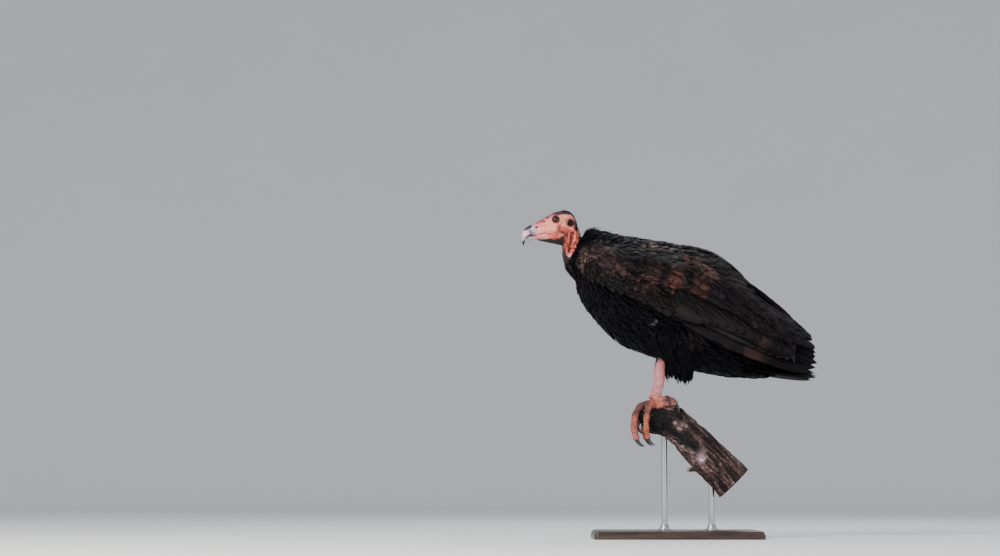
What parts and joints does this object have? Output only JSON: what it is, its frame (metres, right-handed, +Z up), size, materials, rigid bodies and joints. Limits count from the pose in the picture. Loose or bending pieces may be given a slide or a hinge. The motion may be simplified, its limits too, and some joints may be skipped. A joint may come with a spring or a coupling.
{
  "type": "red-headed vulture",
  "caption": "Life-size red-headed vulture gripping the broken end of a cut branch, held upright by short rods on a plain flat base.",
  "frame": {"origin": "the middle of the underside of the stand's flat base, on the floor", "axes": "+Z is up; the bird faces -X with its left side towards -Y, so +Y is its right"},
  "size_m": [0.71, 0.2638, 0.784],
  "materials": {
    "plumage": "black body feathers with a faint sheen",
    "coverts": "brown-black wing coverts, some worn to rufous brown",
    "flight": "black flight feathers, satin",
    "bare_skin": "bare red skin, wrinkled, soft sheen",
    "leg_skin": "pink-red scaled leg skin",
    "bill": "dark horn, paler at the side",
    "horn": "blue-black claw, polished",
    "eye": "dark brown, wet gloss",
    "bark": "grey-brown flaking bark",
    "base": "dark stained wood, satin",
    "rod": "brushed"
  },
  "bodies": {
    "root": {"bill_upper": "bill", "bill_lower": "bill", "head": "bare_skin", "neck": "bare_skin", "trunk": "plumage", "tail": "flight", "eye_left": "eye", "lappet_left": "bare_skin", "wing_left": "coverts", "primaries_left": "flight", "thigh_left": "plumage", "shank_left": "leg_skin", "foot_left": "leg_skin", "claw_inner_left": "horn", "claw_middle_left": "horn", "claw_outer_left": "horn", "claw_hind_left": "horn", "eye_right": "eye", "lappet_right": "bare_skin", "wing_right": "coverts", "primaries_right": "flight", "thigh_right": "plumage", "shank_right": "leg_skin", "foot_right": "leg_skin", "claw_inner_right": "horn", "claw_middle_right": "horn", "claw_outer_right": "horn", "claw_hind_right": "horn", "perch": "bark", "stand_base": "base", "stand_rod_front": "rod", "stand_rod_rear": "rod"}
  },
  "joints": []
}
